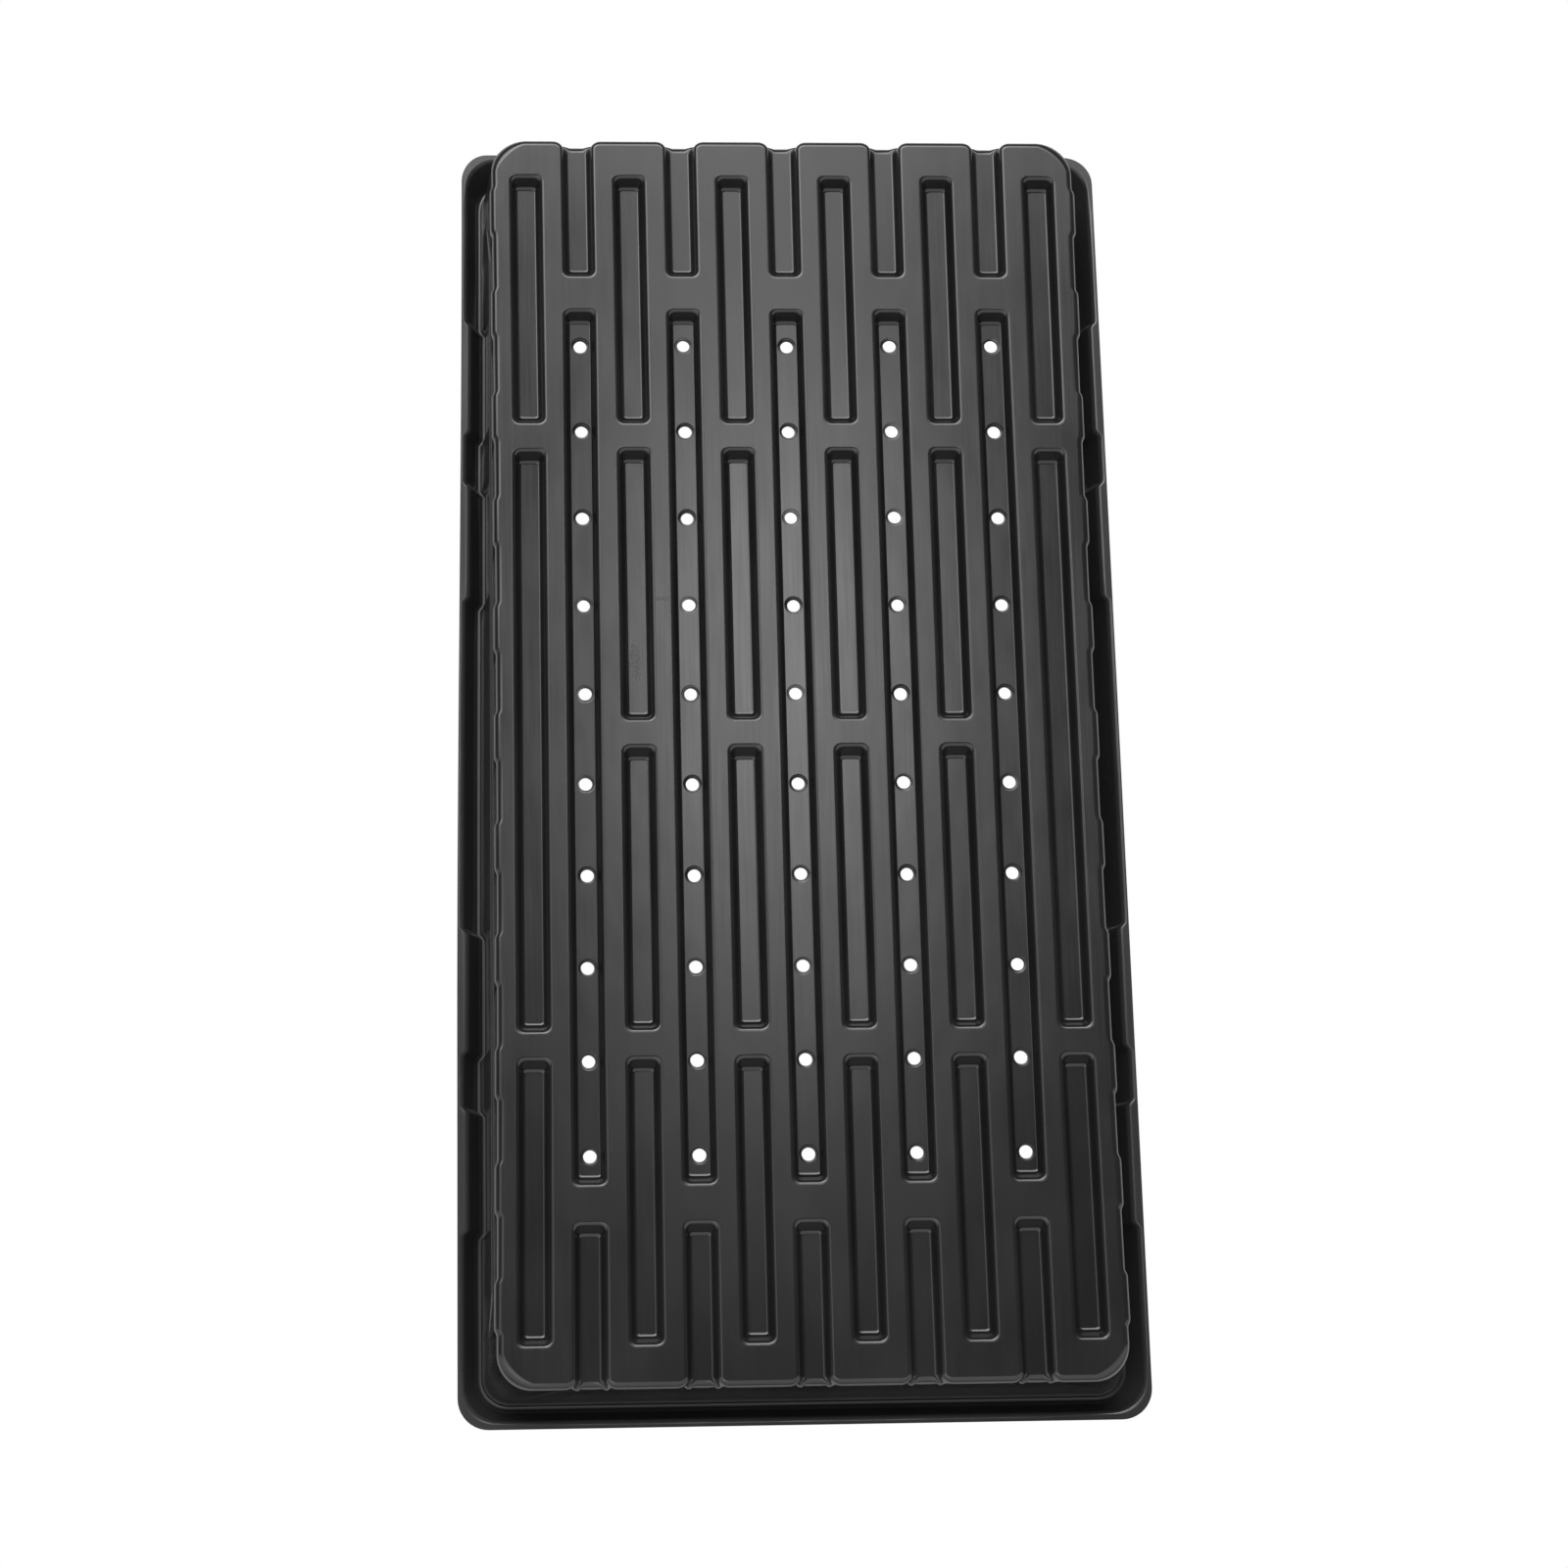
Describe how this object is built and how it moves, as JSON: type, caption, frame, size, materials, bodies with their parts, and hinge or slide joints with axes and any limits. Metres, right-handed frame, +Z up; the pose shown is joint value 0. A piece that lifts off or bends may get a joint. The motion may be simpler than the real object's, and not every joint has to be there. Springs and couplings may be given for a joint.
{
  "type": "seedling tray",
  "caption": "Shallow rectangular seedling tray of thin black plastic, upside down on its rim, its underside pressed with drainage grooves and pierced with drain holes.",
  "frame": {"origin": "centre of the tray on the surface that its rim rests on", "axes": "+Y along the tray, +X across it, +Z up out of its underside, so the open side of the tray faces -Z"},
  "size_m": [0.28, 0.549, 0.059],
  "materials": {
    "black_plastic": "semi-gloss thermoformed black polystyrene with faint draw lines"
  },
  "bodies": {
    "root": {"seedling_tray": "black_plastic"}
  },
  "joints": []
}
